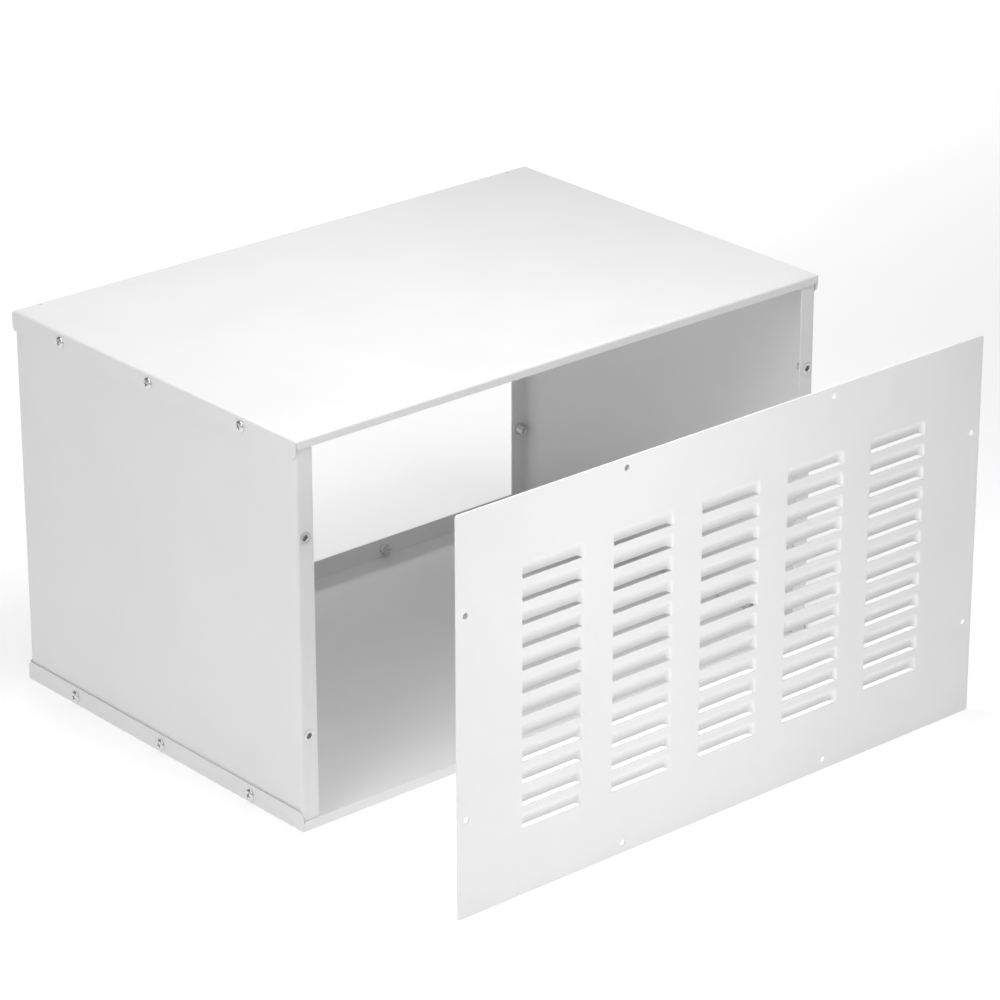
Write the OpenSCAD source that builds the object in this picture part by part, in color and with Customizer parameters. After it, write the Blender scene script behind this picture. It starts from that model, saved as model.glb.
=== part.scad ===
// Open sheet-metal wall sleeve for a through-the-wall air conditioner, with its louvred grille taken off
// and standing in front of it. Two folded pans, top and bottom, wrap two folded side panels and are screwed
// to them. Rivet nuts in the end flanges take the grille's screws.
// Origin: centre of the sleeve's underside. +X is to the right, +Y runs through the wall, away from the
// grille, and +Z is up. Millimetres.

/* [Sleeve] */
// Outside width of the sleeve
sleeve_w = 660; // [550:1:800]
// Outside depth of the sleeve, from front lip to rear flange
sleeve_d = 441; // [360:1:600]
// Outside height of the sleeve
sleeve_h = 396; // [330:1:480]
// Thickness of the sleeve's sheet steel
sheet_t = 1.5; // [1:0.1:2]
// Inside radius of the bends
bend_r = 1.5; // [0.8:0.1:2]
// Clearance between a pan and the side panel that it wraps
wrap_gap = 0.3; // [0.2:0.1:0.5]

/* [Pans] */
// Height of the side flanges
side_flange_h = 20.5; // [18:0.5:26]
// Radius of the side flanges' front corners
front_corner_r = 9; // [3:0.5:12]
// Radius of the side flanges' rear corners
rear_corner_r = 4; // [2:0.5:12]
// Height of the top pan's front lip
top_lip_h = 9.5; // [7:0.5:11]
// Height of the bottom pan's front lip
bottom_lip_h = 11; // [7:0.5:13]
// Height of the rear flanges
rear_flange_h = 22; // [20:0.5:30]
// Radius of the lips' and rear flanges' free corners
lip_corner_r = 3; // [1:0.5:4]
// Length of the two small slots in the top pan, near its rear bend
slot_l = 5; // [3:0.5:8]
// Width of those slots
slot_w = 2; // [1:0.5:3]
// Distance of those slots from the sleeve's sides
slot_from_side = 30; // [20:1:60]
// Distance of those slots from the sleeve's rear face
slot_from_rear = 5; // [4.5:0.5:10]

/* [Side panels] */
// Width of the front and rear flanges, from the sleeve's side face to their free edge
end_flange_w = 20.5; // [18:0.5:26]

/* [Assembly screws] */
// Number of screws along each side flange
screws_per_flange = 3; // [2:1:4]
// Distance of the first and last screw from the sleeve's front and rear faces
screw_end_inset = 80; // [40:1:120]
// Height of the screws from the sleeve's top or bottom face
screw_z_inset = 10; // [9:0.5:12]
// Diameter of the screw head
head_d = 11.4; // [8:0.2:13]
// Height of the screw head
head_h = 3; // [2:0.1:4]
// Diameter of the screw shank
shank_d = 4.8; // [3.5:0.1:6]
// Length of the screw under its head
shank_l = 12; // [8:1:16]
// Radial clearance of the shank in its holes
shank_gap = 0.1; // [0.05:0.05:0.4]
// Length of each bar of the cross recess
recess_l = 6; // [4:0.2:7]
// Width of each bar of the cross recess
recess_w = 1.4; // [0.8:0.1:2]
// Depth of the cross recess
recess_depth = 1.8; // [1:0.1:2.2]

/* [Rivet nuts] */
// Diameter of the rivet nut's barrel
nut_d = 9; // [7:0.1:10]
// Length of the barrel behind the sheet
nut_l = 9; // [6:0.5:12]
// Diameter of the rivet nut's flange
nut_flange_d = 12; // [10.5:0.1:14]
// Thickness of that flange
nut_flange_t = 0.8; // [0.5:0.1:1.2]
// Diameter of the threaded bore, at the thread's crests
nut_bore_d = 5; // [4:0.1:6]
// Radial clearance of the barrel in its hole
nut_gap = 0.05; // [0.05:0.05:0.2]

/* [Grille] */
// Distance from the sleeve's front face to the grille's front face, with the grille taken off
grille_off = 223; // [60:1:400]
// Thickness of the grille's sheet
grille_t = 2; // [1.2:0.1:2.5]
// Radius of the grille's corners
grille_corner_r = 3; // [1:0.5:8]
// Diameter of the screw holes
hole_d = 6.6; // [5.5:0.1:7]
// Distance of the side holes from the sleeve's sides
side_hole_inset = 10.5; // [9.5:0.5:12]
// Height between a side's two holes
side_hole_pitch = 200; // [120:1:260]
// Distance of the top and bottom holes from the sleeve's top and bottom
end_hole_inset = 10; // [9.5:0.5:12]
// Distance between the two holes along the top, and along the bottom
end_hole_pitch = 260; // [120:1:400]

/* [Louvres] */
// Columns of louvres
louvre_cols = 5; // [2:1:6]
// Rows of louvres
louvre_rows = 12; // [3:1:14]
// Width of a louvre's opening along its cut edge
louvre_w = 71; // [40:1:84]
// Height of a louvre
louvre_h = 14.6; // [8:0.2:15]
// Depth to which the cut edge is pressed in
louvre_depth = 6.5; // [3:0.5:7]
// Thickness of the stretched metal of a louvre
louvre_t = 1.2; // [0.8:0.1:1.5]
// Plain margin of the sheet at each side of the louvres
louvre_margin_x = 77; // [40:1:110]
// Plain margin of the sheet above and below the louvres
louvre_margin_z = 67; // [40:1:90]

/* [Hidden] */
$fn = 64;
eps = 0.01;
bend_ro = bend_r + sheet_t;                    // outside radius of a bend
panel_in = sheet_t + wrap_gap;                 // side panel's outer face, in from the pans' outer faces
panel_end = bend_ro + wrap_gap;                // side panel's ends, clear of the pans' bends
screw_pitch = (sleeve_d - 2 * screw_end_inset) / (screws_per_flange - 1);
louvre_pitch_x = (sleeve_w - 2 * louvre_margin_x - louvre_w) / (louvre_cols - 1);
louvre_pitch_z = (sleeve_h - 2 * louvre_margin_z - louvre_h) / (louvre_rows - 1);
// A louvre is part of a round shell whose tangent is upright at the cut edge
louvre_r = (louvre_h * louvre_h + louvre_depth * louvre_depth) / (2 * louvre_depth);
louvre_c = louvre_r - louvre_depth;            // shell's axis, in front of the grille's front face

SIDES = ["left", "right"];
LEVELS = ["bottom", "top"];
HEIGHTS = ["lower", "upper"];
ENDS = ["front", "rear"];
SCREW_NAMES = [for (s = [0:1], l = [0:1], i = [1:screws_per_flange])
    str("screw_", SIDES[s], "_", LEVELS[l], "_", i)];
SIDE_NUT_NAMES = [for (e = [0:1], s = [0:1], h = [0:1])
    str("rivet_nut_", ENDS[e], "_", SIDES[s], "_", HEIGHTS[h])];
PAN_NUT_NAMES = [for (l = [0:1], s = [0:1]) str("rivet_nut_rear_", LEVELS[l], "_", SIDES[s])];

// Corner rounding: what is cut away from a sheet's free corner at the origin, for a bar along +Z
module corner_cut(r, length) {
    difference() {
        translate([-eps, -eps, 0]) cube([r + eps, r + eps, length]);
        translate([r, r, -eps]) cylinder(r = r, h = length + 2 * eps);
    }
}

// Outline of a folded U, w wide and h high, with round lower corners of radius r
module u_outline(w, h, r) {
    translate([r, 0]) square([w - 2 * r, h]);
    translate([0, r]) square([w, h - r]);
    translate([r, r]) circle(r = r);
    translate([w - r, r]) circle(r = r);
}

// Block with all four lower edges round, corner at the origin
module round_block(w, d, h, r) {
    intersection() {
        translate([0, d, 0]) rotate([90, 0, 0]) linear_extrude(d) u_outline(w, h, r);
        rotate([90, 0, 90]) linear_extrude(w) u_outline(d, h, r);
    }
}

// Upright plate with its two upper corners round, front face at Y = 0
module lip_plate(h) {
    lip_x = sheet_t + wrap_gap;
    lip_w = sleeve_w - 2 * lip_x;
    difference() {
        translate([lip_x, 0, bend_ro - eps]) cube([lip_w, sheet_t, h - bend_ro + eps]);
        translate([lip_x, -eps, h]) rotate([-90, 0, 0]) corner_cut(lip_corner_r, sheet_t + 2 * eps);
        translate([sleeve_w - lip_x, -eps, h]) rotate([-90, 90, 0]) corner_cut(lip_corner_r, sheet_t + 2 * eps);
    }
}

// Places along a side flange, or across it, with the pan's corner at the origin
function screw_y(i) = screw_end_inset + (i - 1) * screw_pitch;
function pair_at(middle, pitch, k) = middle + (k - 0.5) * pitch;

// Pan as the bottom one stands: web down, flanges up, corner at the origin
module pan(lip_h) {
    nut_hole_d = nut_d + 2 * nut_gap;
    difference() {
        union() {
            difference() {
                round_block(sleeve_w, sleeve_d, side_flange_h, bend_ro);
                translate([sheet_t, sheet_t, sheet_t])
                    round_block(sleeve_w - 2 * sheet_t, sleeve_d - 2 * sheet_t, side_flange_h, bend_r);
                for (y = [-eps, sleeve_d - sheet_t - eps])
                    translate([sheet_t, y, bend_ro])
                        cube([sleeve_w - 2 * sheet_t, sheet_t + 2 * eps, side_flange_h]);
                for (x = [-eps, sleeve_w - sheet_t - eps]) {
                    translate([x, 0, side_flange_h]) rotate([0, 90, 0])
                        corner_cut(front_corner_r, sheet_t + 2 * eps);
                    translate([x, sleeve_d, side_flange_h]) rotate([0, 90, 0]) rotate([0, 0, -90])
                        corner_cut(rear_corner_r, sheet_t + 2 * eps);
                }
            }
            lip_plate(lip_h);
            translate([0, sleeve_d - sheet_t, 0]) lip_plate(rear_flange_h);
        }
        for (x = [-eps, sleeve_w - sheet_t - eps], i = [1:screws_per_flange])
            translate([x, screw_y(i), screw_z_inset]) rotate([0, 90, 0])
                cylinder(d = shank_d + 2 * shank_gap, h = sheet_t + 2 * eps);
        for (k = [0:1])
            translate([pair_at(sleeve_w / 2, end_hole_pitch, k), sleeve_d - sheet_t - eps, end_hole_inset])
                rotate([-90, 0, 0]) cylinder(d = nut_hole_d, h = sheet_t + 2 * eps);
    }
}

// Side panel as the left one stands, its wall's outer face at X = 0 and its lower front corner at the origin
module side_panel() {
    depth = sleeve_d - 2 * panel_in;
    height = sleeve_h - 2 * panel_end;
    flange_w = end_flange_w - panel_in;
    difference() {
        linear_extrude(height) difference() {
            rotate(-90) mirror([1, 0]) u_outline(depth, flange_w, bend_ro);
            translate([sheet_t, sheet_t]) rotate(-90) mirror([1, 0])
                u_outline(depth - 2 * sheet_t, flange_w, bend_r);
        }
        for (i = [1:screws_per_flange], z = [screw_z_inset, sleeve_h - screw_z_inset])
            translate([-eps, screw_y(i) - panel_in, z - panel_end]) rotate([0, 90, 0])
                cylinder(d = shank_d + 2 * shank_gap, h = sheet_t + 2 * eps);
        for (y = [-eps, depth - sheet_t - eps], k = [0:1])
            translate([side_hole_inset - panel_in, y, pair_at(sleeve_h / 2, side_hole_pitch, k) - panel_end])
                rotate([-90, 0, 0]) cylinder(d = nut_d + 2 * nut_gap, h = sheet_t + 2 * eps);
    }
}

// Pan-head screw along +X, the underside of its head at X = 0
module pan_screw() {
    dome_r = (head_d * head_d / 4 + head_h * head_h) / (2 * head_h);
    color("silver") difference() {
        union() {
            intersection() {
                translate([dome_r - head_h, 0, 0]) sphere(r = dome_r);
                translate([-head_h - 1, -head_d, -head_d]) cube([head_h + 1, 2 * head_d, 2 * head_d]);
            }
            translate([-eps, 0, 0]) rotate([0, 90, 0]) cylinder(d = shank_d, h = shank_l - shank_d / 2);
            translate([shank_l - shank_d / 2 - eps, 0, 0]) rotate([0, 90, 0])
                cylinder(d1 = shank_d, d2 = shank_d / 4, h = shank_d / 2);
        }
        for (a = [0, 90])
            rotate([a, 0, 0]) translate([-head_h - eps, -recess_l / 2, -recess_w / 2])
                cube([recess_depth, recess_l, recess_w]);
    }
}

// Rivet nut along +Y, its flange's seat on the sheet at Y = 0
module rivet_nut() {
    color("gainsboro") difference() {
        union() {
            translate([0, -nut_flange_t, 0]) rotate([-90, 0, 0]) cylinder(d = nut_flange_d, h = nut_flange_t);
            translate([0, -eps, 0]) rotate([-90, 0, 0]) cylinder(d = nut_d, h = sheet_t + nut_l + eps);
        }
        translate([0, -nut_flange_t - eps, 0]) rotate([-90, 0, 0])
            cylinder(d = nut_bore_d, h = nut_flange_t + sheet_t + nut_l + 3 * eps);
    }
}

// Round-ended shell solid of a louvre, centred on X, its cut edge along Z = 0, front face of the sheet at Y = 0
module louvre_solid(r) {
    half_w = louvre_w / 2 - louvre_h;
    translate([-half_w, -louvre_c, 0]) rotate([0, 90, 0]) cylinder(r = r, h = 2 * half_w);
    for (x = [-half_w, half_w]) translate([x, -louvre_c, 0]) sphere(r = r);
}

// Everything of the grille's louvre field, one child at each place
module at_louvres() {
    for (c = [0:louvre_cols - 1], r = [0:louvre_rows - 1])
        translate([(c - (louvre_cols - 1) / 2) * louvre_pitch_x, 0, louvre_margin_z + r * louvre_pitch_z])
            children();
}

module bottom_pan() {
    color("white") translate([-sleeve_w / 2, -sleeve_d / 2, 0]) pan(bottom_lip_h);
}

module top_pan() {
    color("white") difference() {
        translate([-sleeve_w / 2, -sleeve_d / 2, sleeve_h]) mirror([0, 0, 1]) pan(top_lip_h);
        for (s = [-1, 1])
            translate([s * (sleeve_w / 2 - slot_from_side) - slot_l / 2,
                    sleeve_d / 2 - slot_from_rear - slot_w / 2, sleeve_h - sheet_t - eps])
                cube([slot_l, slot_w, sheet_t + 2 * eps]);
    }
}

module left_side_panel() {
    color("whitesmoke") translate([-sleeve_w / 2 + panel_in, -sleeve_d / 2 + panel_in, panel_end]) side_panel();
}

module right_side_panel() {
    color("whitesmoke") mirror([1, 0, 0])
        translate([-sleeve_w / 2 + panel_in, -sleeve_d / 2 + panel_in, panel_end]) side_panel();
}

module louvre_grille() {
    color("white") translate([0, -sleeve_d / 2 - grille_off, 0]) union() {
        difference() {
            translate([-sleeve_w / 2, 0, 0]) cube([sleeve_w, grille_t, sleeve_h]);
            for (sx = [0, 1], sz = [0, 1])
                mirror([sx, 0, 0]) translate([-sleeve_w / 2, -eps, sz * sleeve_h]) mirror([0, 0, sz])
                    rotate([90, 0, 0]) mirror([0, 0, 1]) corner_cut(grille_corner_r, grille_t + 2 * eps);
            for (s = [-1, 1], k = [0:1]) {
                translate([s * (sleeve_w / 2 - side_hole_inset), -eps, pair_at(sleeve_h / 2, side_hole_pitch, k)])
                    rotate([-90, 0, 0]) cylinder(d = hole_d, h = grille_t + 2 * eps);
                translate([s * end_hole_pitch / 2, -eps, k == 0 ? end_hole_inset : sleeve_h - end_hole_inset])
                    rotate([-90, 0, 0]) cylinder(d = hole_d, h = grille_t + 2 * eps);
            }
            at_louvres() intersection() {
                louvre_solid(louvre_r);
                translate([-louvre_w, -eps, 0]) cube([2 * louvre_w, grille_t + 2 * eps, 2 * louvre_h]);
            }
        }
        at_louvres() intersection() {
            difference() {
                louvre_solid(louvre_r + louvre_t);
                louvre_solid(louvre_r);
            }
            translate([-louvre_w, grille_t / 2, 0]) cube([2 * louvre_w, 2 * louvre_depth, 2 * louvre_h]);
        }
    }
}

// Screw i of one side and one level
module side_screw(s, l, i) {
    mirror([s, 0, 0]) translate([-sleeve_w / 2, screw_y(i) - sleeve_d / 2,
            l == 0 ? screw_z_inset : sleeve_h - screw_z_inset])
        pan_screw();
}

// Rivet nut of a side panel's front or rear flange
module side_nut(e, s, h) {
    mirror([0, e, 0]) mirror([s, 0, 0])
        translate([-sleeve_w / 2 + side_hole_inset, -sleeve_d / 2 + panel_in,
                pair_at(sleeve_h / 2, side_hole_pitch, h)])
            rivet_nut();
}

// Rivet nut of a pan's rear flange
module pan_nut(l, s) {
    translate([pair_at(0, end_hole_pitch, s), sleeve_d / 2, l == 0 ? end_hole_inset : sleeve_h - end_hole_inset])
        mirror([0, 1, 0]) rivet_nut();
}

top_pan();
bottom_pan();
left_side_panel();
right_side_panel();
louvre_grille();
for (s = [0:1], l = [0:1], i = [1:screws_per_flange])
    side_screw(s, l, i);
for (e = [0:1], s = [0:1], h = [0:1])
    side_nut(e, s, h);
for (l = [0:1], s = [0:1])
    pan_nut(l, s);
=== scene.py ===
from math import cos, pi, radians, sin

import bmesh
import bpy
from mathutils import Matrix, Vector


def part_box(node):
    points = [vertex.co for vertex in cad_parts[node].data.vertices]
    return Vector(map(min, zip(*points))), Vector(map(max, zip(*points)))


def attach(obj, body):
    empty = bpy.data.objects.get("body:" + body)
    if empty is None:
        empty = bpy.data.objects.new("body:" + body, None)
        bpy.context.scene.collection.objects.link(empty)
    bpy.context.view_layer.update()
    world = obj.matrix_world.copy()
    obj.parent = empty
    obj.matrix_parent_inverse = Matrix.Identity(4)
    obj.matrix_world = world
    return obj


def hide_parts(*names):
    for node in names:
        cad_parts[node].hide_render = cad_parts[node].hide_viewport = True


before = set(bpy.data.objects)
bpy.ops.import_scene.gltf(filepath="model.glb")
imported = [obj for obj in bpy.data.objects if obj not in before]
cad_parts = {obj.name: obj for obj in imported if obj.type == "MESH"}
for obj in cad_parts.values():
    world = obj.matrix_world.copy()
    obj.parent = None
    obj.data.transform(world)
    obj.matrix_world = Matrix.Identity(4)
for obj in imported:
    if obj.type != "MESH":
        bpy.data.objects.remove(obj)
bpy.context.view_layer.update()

# ------------------------------------------------------------------------------------------------
# Bottom pan
# The tray that the air conditioner slides in on: 1.5 mm sheet steel, punched, folded up on all four
# sides in a press brake and powder coated white. Its side flanges wrap the side panels.
# ------------------------------------------------------------------------------------------------
mm = 0.001
sheet = 1.5 * mm                # thickness of the sleeve's steel
fold_radius = 3 * mm            # outside of every fold
lip_inset = 1.8 * mm            # the lips start this far in from the side flanges' faces
side_flange = 20.5 * mm         # height of the side flanges
front_corner, rear_corner = 9 * mm, 4 * mm     # rounding of the side flanges' free corners
lip_corner = 3 * mm             # rounding of the lips' free corners
bottom_lip, top_lip = 11 * mm, 9.5 * mm         # heights of the two pans' front lips
paint_edge = 0.4 * mm           # deburring and the coat round every cut edge by this much
bit_long = 8 * mm               # longer than any sheet or wall is thick
round_steps = 48                # sides of a drilled hole or a turned piece
fold_steps, corner_steps = 8, 10                # facets of a fold, and of a rounded corner
corner_angle = radians(40)      # cut edges turning more than this are rounded
crease_angle = radians(35)      # and any that still turn more than this stay crisp
near = 0.01 * mm                # how close a point has to be to count as on a line


def edit(piece):
    """Opens one piece for editing, with nothing else in the way and nothing selected."""
    bpy.ops.object.select_all(action="DESELECT")
    piece.select_set(True)
    bpy.context.view_layer.objects.active = piece
    bpy.ops.object.mode_set(mode="EDIT")
    bpy.ops.mesh.select_all(action="DESELECT")


def pick(piece, kind, test):
    """Selects only the verts, edges or faces of the open piece that pass the test."""
    bpy.ops.mesh.select_mode(type={"verts": "VERT", "edges": "EDGE", "faces": "FACE"}[kind])
    bpy.ops.mesh.select_all(action="DESELECT")
    net = bmesh.from_edit_mesh(piece.data)
    for item in getattr(net, kind):
        item.select_set(bool(test(item)))
    net.select_flush_mode()
    bmesh.update_edit_mesh(piece.data)


def ends(edge, test):
    """True if both ends of an edge pass the test."""
    return all(test(v.co) for v in edge.verts)


def at(a, b):
    """True if two lengths are the same to the eye."""
    return abs(a - b) < near


def block(name, low, high):
    """A cube primitive with these two corners, its place in its mesh."""
    bpy.ops.object.select_all(action="DESELECT")
    low, high = Vector(low), Vector(high)
    bpy.ops.mesh.primitive_cube_add(size=1, location=(low + high) / 2, scale=high - low)
    bpy.ops.object.transform_apply(location=True, rotation=True, scale=True)
    piece = bpy.context.object
    piece.name = piece.data.name = name
    return piece


def modify(piece, kind, **settings):
    """Adds a modifier and applies it."""
    bpy.ops.object.select_all(action="DESELECT")
    piece.select_set(True)
    bpy.context.view_layer.objects.active = piece
    modifier = piece.modifiers.new(kind.lower(), kind)
    for key, value in settings.items():
        setattr(modifier, key, value)
    bpy.ops.object.modifier_apply(modifier=modifier.name)


def drill(piece, radius, places, axis, solver="EXACT"):
    """Bores round holes at these places along X, Y or Z."""
    turns = {"X": (0, pi / 2, 0), "Y": (pi / 2, 0, 0), "Z": (0, 0, 0)}
    bpy.ops.object.select_all(action="DESELECT")
    bits = []
    for place in places:
        bpy.ops.mesh.primitive_cylinder_add(
            vertices=round_steps, radius=radius, depth=bit_long, location=place,
            rotation=turns[axis])
        bits.append(bpy.context.object)
    for bit in bits:
        bit.select_set(True)
    bpy.ops.object.join()
    bpy.ops.object.transform_apply(location=True, rotation=True, scale=True)
    bit = bpy.context.object
    modify(piece, "BOOLEAN", object=bit, operation="DIFFERENCE", solver=solver)
    bpy.data.objects.remove(bit)


def soften(piece, width, segments=3):
    """Rounds the cut edges as the coat does, and keeps the flats flat to the light."""
    modify(piece, "BEVEL", width=width, segments=segments, limit_method="ANGLE",
           angle_limit=corner_angle, use_clamp_overlap=True)
    bpy.ops.object.shade_smooth_by_angle(angle=crease_angle)
    modify(piece, "WEIGHTED_NORMAL", weight=100, keep_sharp=True)


def folded_pan(name, lip, low, high):
    """A pan as the bottom one stands: flat web below, four flanges folded up from it."""
    rear_flange = high.z
    piece = block(name, low, high)
    edit(piece)
    pick(piece, "faces", lambda f: f.normal.z > 0.9)
    bpy.ops.mesh.delete(type="FACE")
    pick(piece, "edges", lambda e: ends(e, lambda p: at(p.z, low.z)))
    bpy.ops.mesh.bevel(offset=fold_radius, segments=fold_steps, profile=0.5, affect="EDGES")
    for x in (low.x + lip_inset, high.x - lip_inset):
        pick(piece, "faces", lambda f: abs(f.normal.y) > 0.99)
        bpy.ops.mesh.bisect(plane_co=(x, 0, 0), plane_no=(1, 0, 0))
    pick(piece, "faces", lambda f: abs(f.normal.y) > 0.99
         and abs(f.calc_center_median().x) > high.x - lip_inset)
    bpy.ops.mesh.delete(type="FACE")
    pick(piece, "verts", lambda v: at(v.co.z, rear_flange) and at(v.co.y, low.y)
         and abs(v.co.x) < high.x - lip_inset / 2)
    bpy.ops.transform.translate(value=(0, 0, lip - rear_flange))
    pick(piece, "verts", lambda v: at(v.co.z, rear_flange) and at(abs(v.co.x), high.x))
    bpy.ops.transform.translate(value=(0, 0, side_flange - rear_flange))
    corners = ((side_flange, low.y, front_corner), (side_flange, high.y, rear_corner),
               (lip, low.y, lip_corner), (rear_flange, high.y, lip_corner))
    for z, y, radius in corners:
        pick(piece, "verts", lambda v: at(v.co.z, z) and at(v.co.y, y))
        bpy.ops.mesh.bevel(offset=radius, segments=corner_steps, profile=0.5, affect="VERTICES")
    bpy.ops.object.mode_set(mode="OBJECT")
    modify(piece, "SOLIDIFY", thickness=sheet, offset=-1, use_even_offset=True,
           use_quality_normals=True)
    return piece


sleeve_low, sleeve_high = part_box("bottom_pan")[0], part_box("top_pan")[1]
sleeve_h = sleeve_high.z - sleeve_low.z
screw_rows = [y * mm for y in (-140.5, 0, 140.5)]       # places of the screws from front to rear
screw_in = 10 * mm              # height of a screw from the sleeve's top or bottom face
pan_nut_x = 130 * mm            # the rear flanges' two rivet nuts stand this far from the middle
nut_hole, screw_hole = 4.55 * mm, 2.5 * mm              # radii
low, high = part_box("bottom_pan")
pan_nuts = [(x, high.y, screw_in) for x in (-pan_nut_x, pan_nut_x)]
pan_screws = [(x, y, screw_in) for x in (low.x, high.x) for y in screw_rows]
bottom_pan = folded_pan("bottom_pan_skin", bottom_lip, low, high)
drill(bottom_pan, nut_hole, pan_nuts, "Y")
drill(bottom_pan, screw_hole, pan_screws, "X")
soften(bottom_pan, paint_edge)
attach(bottom_pan, "sleeve")
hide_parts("bottom_pan")

# ------------------------------------------------------------------------------------------------
# Top pan
# The same pan turned over, with a lower front lip, so that it keeps rain off the opening. Two small
# slots beside its rear fold located the blank in the press brake.
# ------------------------------------------------------------------------------------------------
slot_long, slot_wide = 5 * mm, 2 * mm
slot_from_side, slot_from_rear = 30 * mm, 5 * mm

top_pan = folded_pan("top_pan_skin", top_lip, low, high)
drill(top_pan, nut_hole, pan_nuts, "Y")
drill(top_pan, screw_hole, pan_screws, "X")
for x in (low.x + slot_from_side, high.x - slot_from_side):
    punch = Vector((slot_long / 2, slot_wide / 2, sheet))
    middle = Vector((x, high.y - slot_from_rear, low.z + sheet / 2))
    tool = block("slot_punch", middle - punch, middle + punch)
    modify(top_pan, "BOOLEAN", object=tool, operation="DIFFERENCE", solver="EXACT")
    bpy.data.objects.remove(tool)
soften(top_pan, paint_edge)
top_pan.rotation_euler = (0, pi, 0)
top_pan.location = (0, 0, sleeve_high.z)
bpy.ops.object.transform_apply(location=True, rotation=True, scale=True)
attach(top_pan, "sleeve")
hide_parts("top_pan")

# ------------------------------------------------------------------------------------------------
# Side panels
# Two plain walls of the same sheet that stand inside the pans' flanges. Each is folded in at the
# front and the rear to carry the rivet nuts, and is screwed to the pans along its top and bottom.
# ------------------------------------------------------------------------------------------------
side_nut_x = 319.5 * mm         # the end flanges' rivet nuts stand this far from the middle
side_nut_z = (98 * mm, 298 * mm)

side_panels = []
for side, name in ((-1, "left_side_panel"), (1, "right_side_panel")):
    low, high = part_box(name)
    wall_x = low.x if side < 0 else high.x
    panel = block(name + "_skin", low, high)
    edit(panel)
    pick(panel, "faces", lambda f: f.normal.x * side < -0.9 or abs(f.normal.z) > 0.9)
    bpy.ops.mesh.delete(type="FACE")
    pick(panel, "edges", lambda e: ends(e, lambda p: at(p.x, wall_x)) and
         not at(e.verts[0].co.z, e.verts[1].co.z))
    bpy.ops.mesh.bevel(offset=fold_radius, segments=fold_steps, profile=0.5, affect="EDGES")
    bpy.ops.object.mode_set(mode="OBJECT")
    modify(panel, "SOLIDIFY", thickness=sheet, offset=-1, use_even_offset=True,
           use_quality_normals=True)
    ends_y = (low.y, high.y)
    drill(panel, nut_hole, [(side * side_nut_x, y, z) for y in ends_y for z in side_nut_z], "Y")
    rows_z = (screw_in, sleeve_high.z - screw_in)
    drill(panel, screw_hole, [(wall_x, y, z) for y in screw_rows for z in rows_z], "X")
    soften(panel, paint_edge)
    side_panels.append(panel)
    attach(panel, "sleeve")
    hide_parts(name)

# ------------------------------------------------------------------------------------------------
# Louvred grille
# One flat 2 mm sheet, punched and powder coated white, with rounded corners, eight screw holes and
# sixty louvres in five columns. Each is lanced along its lower edge and pressed inwards in one
# stroke, so that rain runs off.
# ------------------------------------------------------------------------------------------------
grille_low, grille_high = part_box("louvre_grille")
grille_sheet = 2 * mm
front_y = grille_low.y
columns, rows = 5, 12
pitch_x, pitch_z = 108.75 * mm, 22.45 * mm
louvre_w, louvre_h = 71 * mm, 14.6 * mm
lance_z = 67 * mm               # height of the lowest louvre's cut edge
press_depth = 6.3 * mm          # how far the cut edge is pressed in
lip_rise = 0.7 * mm             # how far pressing draws that edge up
margin_x = (grille_high.x - grille_low.x - columns * pitch_x) / 2
cell_low_z = lance_z - (pitch_z - louvre_h) / 2
half = louvre_w / 2
end_w = 2.6 * mm                # the flat sheet that a louvre's ends draw down, beyond the opening
louvre_rise = 17 * mm           # from the cut edge to where the sheet is flat again
end_slope = (0, 1.6 * mm, 4.2 * mm)             # lines across a louvre's sloping ends
# Up from the cut edge, share of the press depth and share of the lip's rise
face_slope = ((0, 1, 1), (5.2 * mm, 0.94, 0.6), (10 * mm, 0.66, 0.15), (13.4 * mm, 0.16, 0))
top_line = 15 * mm              # last line across a louvre's face, still in the flat sheet
grille_corner, grille_hole, grille_edge = 3 * mm, 3.3 * mm, 0.25 * mm   # radii


def widen(piece, along, low, high):
    """Draws the flat sheet's outer edges out to low and high along X (0) or Z (2)."""
    reach = [v.co[along] for v in bmesh.from_edit_mesh(piece.data).verts]
    for old, new in ((min(reach), low), (max(reach), high)):
        pick(piece, "edges", lambda e: ends(e, lambda p: at(p[along], old) and at(p.y, front_y)))
        shift = Vector((0, 0, 0))
        shift[along] = new - old
        bpy.ops.mesh.extrude_edges_move(TRANSFORM_OT_translate={"value": shift})


# One louvre, the lowest of the first column, pressed in from a flat piece of sheet. The lance cuts
# along its lower edge.
cell_low_x = grille_low.x + margin_x
centre_x = cell_low_x + pitch_x / 2
bpy.ops.object.select_all(action="DESELECT")
bpy.ops.mesh.primitive_plane_add(
    size=1, location=(centre_x, front_y, lance_z + louvre_rise / 2), rotation=(pi / 2, 0, 0))
grille = bpy.context.object
grille.name = grille.data.name = "louvre_grille_sheet"
grille.scale = (louvre_w + 2 * end_w, louvre_rise, 1)
bpy.ops.object.transform_apply(location=True, rotation=True, scale=True)
edit(grille)
for inner in end_slope:
    for x in (centre_x - half + inner, centre_x + half - inner):
        pick(grille, "faces", lambda f: True)
        bpy.ops.mesh.bisect(plane_co=(x, 0, 0), plane_no=(1, 0, 0))
for up in [up for up, depth, rise in face_slope[1:]] + [top_line]:
    pick(grille, "faces", lambda f: True)
    bpy.ops.mesh.bisect(plane_co=(0, 0, lance_z + up), plane_no=(0, 0, 1))
pick(grille, "verts", lambda v: at(v.co.z, lance_z) and at(abs(v.co.x - centre_x), half))
bpy.ops.transform.vert_crease(value=1)
for up, depth, rise in face_slope:
    pick(grille, "verts", lambda v: at(v.co.z, lance_z + up)
         and abs(v.co.x - centre_x) < half - near)
    bpy.ops.transform.translate(value=(0, depth * press_depth, rise * lip_rise))
bpy.ops.object.mode_set(mode="OBJECT")
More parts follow.
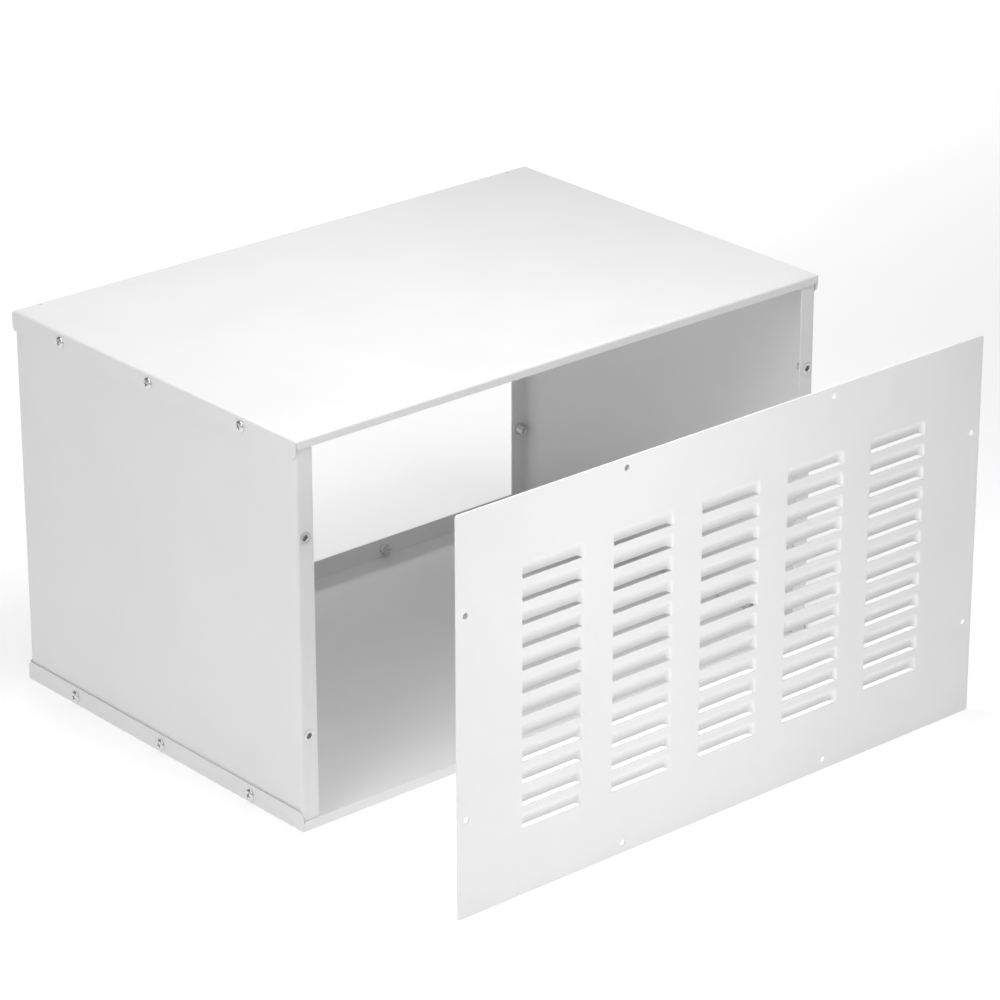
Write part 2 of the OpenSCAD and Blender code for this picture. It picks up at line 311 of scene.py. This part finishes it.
modify(grille, "SUBSURF", levels=2, render_levels=2, boundary_smooth="PRESERVE_CORNERS")

# The flat sheet round it: the lance's lower edge, then the rest of its cell
edit(grille)
pick(grille, "verts", lambda v: at(v.co.z, lance_z) and at(abs(v.co.x - centre_x), half))
bpy.ops.mesh.edge_face_add()
widen(grille, 0, cell_low_x, cell_low_x + pitch_x)
widen(grille, 2, cell_low_z, cell_low_z + pitch_z)
bpy.ops.mesh.select_all(action="SELECT")
bpy.ops.mesh.remove_doubles(threshold=near)
bpy.ops.mesh.normals_make_consistent(inside=False)
if sum(f.normal.y for f in bmesh.from_edit_mesh(grille.data).faces) > 0:
    bpy.ops.mesh.flip_normals()
bpy.ops.object.mode_set(mode="OBJECT")
for count, step in ((columns, (pitch_x, 0, 0)), (rows, (0, 0, pitch_z))):
    modify(grille, "ARRAY", count=count, use_relative_offset=False, use_constant_offset=True,
           constant_offset_displace=step)

# The plain margins round the louvres
edit(grille)
bpy.ops.mesh.select_all(action="SELECT")
bpy.ops.mesh.remove_doubles(threshold=near)
widen(grille, 0, grille_low.x, grille_high.x)
widen(grille, 2, grille_low.z, grille_high.z)
pick(grille, "verts", lambda v: (at(v.co.x, grille_low.x) or at(v.co.x, grille_high.x)) and
     (at(v.co.z, grille_low.z) or at(v.co.z, grille_high.z)))
bpy.ops.mesh.bevel(offset=grille_corner, segments=fold_steps, profile=0.5, affect="VERTICES")
bpy.ops.object.mode_set(mode="OBJECT")
modify(grille, "SOLIDIFY", thickness=grille_sheet, offset=-1, use_even_offset=True,
       use_quality_normals=True)
holes = [(side * side_nut_x, front_y, z) for side in (-1, 1) for z in side_nut_z]
holes += [(x, front_y, z) for x in (-pan_nut_x, pan_nut_x) for z in (screw_in, sleeve_h - screw_in)]
drill(grille, grille_hole, holes, "Y", solver="MANIFOLD")
soften(grille, grille_edge, segments=1)
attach(grille, "grille")
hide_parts("louvre_grille")

# ------------------------------------------------------------------------------------------------
# Pan screws
# Twelve bright zinc-plated pan-head screws, 5 mm, with a cross recess. Each passes through a pan's
# side flange into the side panel behind it, and they stand at whatever turn they were driven to.
# ------------------------------------------------------------------------------------------------
head_r, rim_r, head_h = 5.7, 5.65, 3            # in millimetres, as both sections' points are
rim_h = 0.8                     # height of the straight rim below the dome
core_r, root_r, crest_r, tip_r = 1.8, 1.7, 2.38, 0.5
shank_end, screw_end = 9.4, 12
thread_start, thread_pitch, thread_turns = 1.2, 1.6, 5
recess_long, recess_wide, recess_deep = 6.6 * mm, 1.5 * mm, 2 * mm
recess_taper = (1, 0.5, 0.7)    # its floor against its mouth
turned_crease = radians(32)     # drawn sharp above this, on the screws and the rivet nuts
first_turn, next_turn = radians(23), radians(41)        # how far each screw was driven round


def outline(name, points):
    """A line of edges through these points, begun at one corner of a plane primitive."""
    bpy.ops.object.select_all(action="DESELECT")
    bpy.ops.mesh.primitive_plane_add(size=1 * mm)
    piece = bpy.context.object
    piece.name = piece.data.name = name
    edit(piece)
    pick(piece, "verts", lambda v: v.index > 0)
    bpy.ops.mesh.delete(type="VERT")
    bpy.ops.mesh.select_all(action="SELECT")
    here = bmesh.from_edit_mesh(piece.data).verts[:][0].co.copy()
    bpy.ops.transform.translate(value=Vector(points[0]) - here)
    for old, new in zip(points, points[1:]):
        bpy.ops.mesh.extrude_vertices_move(
            TRANSFORM_OT_translate={"value": Vector(new) - Vector(old)})
    return piece


def turned(name, points, axis):
    """A solid of revolution: half its section as a line of points, spun round X or Y."""
    piece = outline(name, points)
    bpy.ops.mesh.select_all(action="SELECT")
    bpy.ops.mesh.spin(steps=round_steps, angle=2 * pi, center=(0, 0, 0), axis=axis)
    bpy.ops.mesh.select_all(action="SELECT")
    bpy.ops.mesh.remove_doubles(threshold=near)
    bpy.ops.mesh.normals_make_consistent(inside=False)
    bpy.ops.object.mode_set(mode="OBJECT")
    return piece


# Head and core, along X, with the head's seat at X = 0
dome = [(-rim_h - (head_h - rim_h) * sin(radians(t)), rim_r * cos(radians(t)) ** 0.8)
        for t in (82, 73, 64, 54, 44, 34, 24, 14, 6)]
rim = [(-rim_h, rim_r), (-0.15, head_r), (0, head_r - 0.2)]
shank = [(0, core_r), (shank_end, core_r), (screw_end - 0.3, tip_r), (screw_end, 0)]
section = [(-head_h, 0)] + dome + rim + shank
screw = turned("screw_first", [(x * mm, r * mm, 0) for x, r in section], (1, 0, 0))

# The rolled thread: a ridge wound round the core, closed at both ends and joined to it
ridge = [(0, root_r), (0.5, root_r), (0.75, crest_r), (0.85, crest_r), (1.1, root_r),
         (thread_pitch, root_r)]
thread = outline("thread", [((thread_start + x) * mm, r * mm, 0) for x, r in ridge])
bpy.ops.object.mode_set(mode="OBJECT")
modify(thread, "SCREW", axis="X", angle=2 * pi, screw_offset=thread_pitch * mm,
       iterations=thread_turns, steps=32, render_steps=32, use_merge_vertices=True,
       merge_threshold=near)
thread_middle = (thread_start + thread_turns * thread_pitch / 2) * mm
edit(thread)
bpy.ops.mesh.select_all(action="SELECT")
bpy.ops.mesh.remove_doubles(threshold=near)
for first in (True, False):
    pick(thread, "edges", lambda e: e.is_boundary and (e.verts[0].co.x < thread_middle) == first)
    bpy.ops.mesh.edge_face_add()
bpy.ops.mesh.select_all(action="SELECT")
bpy.ops.mesh.normals_make_consistent(inside=False)
bpy.ops.object.mode_set(mode="OBJECT")
modify(screw, "BOOLEAN", object=thread, operation="UNION", solver="EXACT")
bpy.data.objects.remove(thread)

# The cross recess, punched with a tapered bit
for turn in (0, pi / 2):
    bit = block("recess_punch", (-(head_h + 0.5) * mm, -recess_long / 2, -recess_wide / 2),
                (-head_h * mm + recess_deep, recess_long / 2, recess_wide / 2))
    edit(bit)
    pick(bit, "faces", lambda f: f.normal.x > 0.9)
    bpy.ops.transform.resize(value=recess_taper, center_override=(0, 0, 0))
    bpy.ops.object.mode_set(mode="OBJECT")
    bit.rotation_euler = (turn, 0, 0)
    bpy.ops.object.transform_apply(location=True, rotation=True, scale=True)
    modify(screw, "BOOLEAN", object=bit, operation="DIFFERENCE", solver="EXACT")
    bpy.data.objects.remove(bit)
bpy.ops.object.select_all(action="DESELECT")
screw.select_set(True)
bpy.context.view_layer.objects.active = screw
bpy.ops.object.shade_smooth_by_angle(angle=turned_crease)


def copy_to(first, name, place, turns):
    """One more of a piece, with a mesh of its own, turned and then moved into its place."""
    bpy.ops.object.select_all(action="DESELECT")
    first.select_set(True)
    bpy.context.view_layer.objects.active = first
    bpy.ops.object.duplicate(linked=False)
    piece = bpy.context.object
    piece.name = piece.data.name = name + "_part"
    piece.rotation_euler = turns
    piece.location = place
    bpy.ops.object.transform_apply(location=True, rotation=True, scale=True)
    return piece


screws = []
for side, side_name in ((-1, "left"), (1, "right")):
    for z, level in ((screw_in, "bottom"), (sleeve_h - screw_in, "top")):
        for row, y in enumerate(screw_rows, 1):
            name = f"screw_{side_name}_{level}_{row}"
            driven = first_turn + next_turn * len(screws)
            piece = copy_to(screw, name, (side * sleeve_high.x, y, z),
                            (driven, 0, 0 if side < 0 else pi))
            screws.append(piece)
            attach(piece, "sleeve")
            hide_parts(name)
bpy.data.objects.remove(screw)

# ------------------------------------------------------------------------------------------------
# Rivet nuts
# Twelve M6 zinc-plated steel rivet nuts, turned with a thin flange. Each was pulled in its hole
# until its wall bulged behind the sheet, which holds it; they take the grille's screws.
# ------------------------------------------------------------------------------------------------
flange_r, flange_h = 6, 0.8     # in millimetres, as the section's points are
barrel_r, barrel_end = 4.5, 10.5
groove_r, ridge_r, plain_r = 2.9, 2.5, 3        # the bore's thread, and its plain mouth
half_pitch, thread_points = 0.5, 14

flange = [(-flange_h, 3.2), (-flange_h, 5.7), (-0.65, 5.9), (-0.3, flange_r), (0, 5.95)]
bulge = [(0, barrel_r), (1.5, barrel_r), (1.6, 5.4), (1.9, 5.85), (2.4, 6), (3, 5.85), (3.5, 5.3),
         (3.8, 4.6), (4.1, barrel_r)]
barrel = [(barrel_end - 0.3, barrel_r), (barrel_end, 4.2), (barrel_end, 3.1)]
bore = [(barrel_end - 0.3 - half_pitch * step, ridge_r if step % 2 else groove_r)
        for step in range(thread_points)]
mouth = [(3.5, plain_r), (0.3 - flange_h, plain_r), (-flange_h, 3.2)]
section = flange + bulge + barrel + bore + mouth
nut = turned("rivet_nut_first", [(r * mm, y * mm, 0) for y, r in section], (0, 1, 0))
bpy.ops.object.shade_smooth_by_angle(angle=turned_crease)
panel_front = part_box("left_side_panel")[0].y
nut_places = [(f"rivet_nut_{end}_{side_name}_{level}",
               (side * side_nut_x, facing * -panel_front, z), 0 if facing < 0 else pi)
              for facing, end in ((-1, "front"), (1, "rear"))
              for side, side_name in ((-1, "left"), (1, "right"))
              for z, level in zip(side_nut_z, ("lower", "upper"))]
nut_places += [(f"rivet_nut_rear_{level}_{side_name}", (side * pan_nut_x, sleeve_high.y, z), pi)
               for z, level in ((screw_in, "bottom"), (sleeve_h - screw_in, "top"))
               for side, side_name in ((-1, "left"), (1, "right"))]
nuts = []
for name, place, turn in nut_places:
    piece = copy_to(nut, name, place, (0, 0, turn))
    nuts.append(piece)
    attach(piece, "sleeve")
    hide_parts(name)
bpy.data.objects.remove(nut)

# ------------------------------------------------------------------------------------------------
# Materials
# Powder coat has a fine orange peel and a soft sheen. Zinc plating is bright on the screws and
# duller on the rivet nuts, where the barrel plating left it matt.
# ------------------------------------------------------------------------------------------------
coat_grains = (500, 1400, 9)    # fine bumps, finer bumps and the slow drift, per metre
zinc_grains = (900, 3000, 260)
bump_height = 0.02 * mm


def finish(name, metallic, tones, rough, peel, grains):
    """A surface with a slow drift of tone and sheen, and fine bumps of two sizes."""
    material = bpy.data.materials.new(name)
    material.use_nodes = True
    nodes, links = material.node_tree.nodes, material.node_tree.links
    shader = nodes["Principled BSDF"]
    shader.inputs["Metallic"].default_value = metallic
    place = nodes.new("ShaderNodeTexCoord").outputs["Object"]

    def noise(scale, detail):
        node = nodes.new("ShaderNodeTexNoise")
        node.inputs["Scale"].default_value = scale
        node.inputs["Detail"].default_value = detail
        links.new(place, node.inputs["Vector"])
        return node.outputs["Fac"]

    drift = noise(grains[2], 3)
    ramp = nodes.new("ShaderNodeValToRGB")
    for stop, (spot, tone) in zip(ramp.color_ramp.elements, ((0.35, tones[0]), (0.65, tones[1]))):
        stop.position = spot
        stop.color = (*tone, 1)
    links.new(drift, ramp.inputs["Fac"])
    links.new(ramp.outputs["Color"], shader.inputs["Base Color"])
    sheen = nodes.new("ShaderNodeMapRange")
    sheen.inputs["To Min"].default_value, sheen.inputs["To Max"].default_value = rough
    links.new(drift, sheen.inputs["Value"])
    links.new(sheen.outputs["Result"], shader.inputs["Roughness"])
    both = nodes.new("ShaderNodeMath")
    both.operation = "ADD"
    links.new(noise(grains[0], 2), both.inputs[0])
    links.new(noise(grains[1], 2), both.inputs[1])
    bump = nodes.new("ShaderNodeBump")
    bump.inputs["Strength"].default_value = peel
    bump.inputs["Distance"].default_value = bump_height
    links.new(both.outputs["Value"], bump.inputs["Height"])
    links.new(bump.outputs["Normal"], shader.inputs["Normal"])
    return material


sleeve_paint = finish("sleeve_paint", 0, ((0.785, 0.785, 0.785), (0.805, 0.805, 0.805)),
                      (0.36, 0.44), 0.5, coat_grains)
grille_paint = finish("grille_paint", 0, ((0.87, 0.87, 0.87), (0.89, 0.89, 0.89)),
                      (0.38, 0.46), 0.5, coat_grains)
screw_zinc = finish("screw_zinc", 1, ((0.66, 0.67, 0.68), (0.78, 0.79, 0.8)),
                    (0.16, 0.26), 0.3, zinc_grains)
nut_zinc = finish("nut_zinc", 1, ((0.66, 0.67, 0.68), (0.76, 0.77, 0.78)),
                  (0.34, 0.46), 0.5, zinc_grains)
dressed = [(bottom_pan, sleeve_paint), (top_pan, sleeve_paint), (grille, grille_paint)]
dressed += [(panel, sleeve_paint) for panel in side_panels]
dressed += [(piece, screw_zinc) for piece in screws] + [(piece, nut_zinc) for piece in nuts]
for piece, material in dressed:
    piece.data.materials.clear()
    piece.data.materials.append(material)

# ------------------------------------------------------------------------------------------------
# Stage
# A plain white sweep that glows a little, so that it stays white, and a long-lens camera. Four
# soft panels light the piece, a fifth the sweep behind it, and the room is brighter at its sides.
# ------------------------------------------------------------------------------------------------
sweep_glow = 0.385
sides_glare = 0.46              # brightness of the room straight to the left and right

bpy.context.scene.view_settings.view_transform = "Standard"
bpy.ops.object.camera_add(location=(-2.5247, -3.0374, 1.8725),
                          rotation=(radians(66.73), radians(0.06), radians(-40.90)))
camera = bpy.context.object
camera.data.lens = 154.95
camera.data.clip_end = 50
bpy.context.scene.camera = camera

bpy.ops.mesh.primitive_plane_add(size=20)
floor = bpy.context.object
floor.name = "sweep"
sweep = finish("sweep_white", 0, ((0.79, 0.79, 0.79), (0.81, 0.81, 0.81)),
               (0.85, 0.95), 0.2, (60, 200, 2))
glow = sweep.node_tree.nodes["Principled BSDF"]
glow.inputs["Emission Color"].default_value = (1, 1, 1, 1)
glow.inputs["Emission Strength"].default_value = sweep_glow
floor.data.materials.append(sweep)

# Name, place, aim, size and watts
panels = (
    ("grille_light", (-0.2, -0.95, 0.44), (0, -0.44, 0.2), 0.3, 1.1),
    ("front_top_light", (0, -0.45, 1.25), (0, -0.1, 0.4), 0.7, 5.5),
    ("overhead_light", (-0.3, -0.1, 1.8), (-0.1, 0, 0.4), 1.2, 12.5),
    ("left_light", (-1.3, -0.6, 0.95), (-0.33, -0.05, 0.2), 0.5, 4.5),
    ("sweep_light", (1.2, 2.6, 1.8), (1.7, 3.2, 0), 1.5, 78),
)
for name, place, aim, size, watts in panels:
    facing = (Vector(aim) - Vector(place)).to_track_quat("-Z", "Y").to_euler()
    bpy.ops.object.light_add(type="AREA", location=place, rotation=facing)
    lamp = bpy.context.object
    lamp.name = name
    lamp.data.size = size
    lamp.data.energy = watts
    lamp.visible_camera = False

room = bpy.data.worlds.new("room")
bpy.context.scene.world = room
room.use_nodes = True
nodes, links = room.node_tree.nodes, room.node_tree.links
axes = nodes.new("ShaderNodeSeparateXYZ")
links.new(nodes.new("ShaderNodeTexCoord").outputs["Generated"], axes.inputs["Vector"])
sides = nodes.new("ShaderNodeMath")
sides.operation = "ABSOLUTE"
links.new(axes.outputs["X"], sides.inputs[0])
glare = nodes.new("ShaderNodeMath")
glare.operation = "MULTIPLY"
glare.inputs[1].default_value = sides_glare
links.new(sides.outputs["Value"], glare.inputs[0])
links.new(glare.outputs["Value"], nodes["Background"].inputs["Color"])
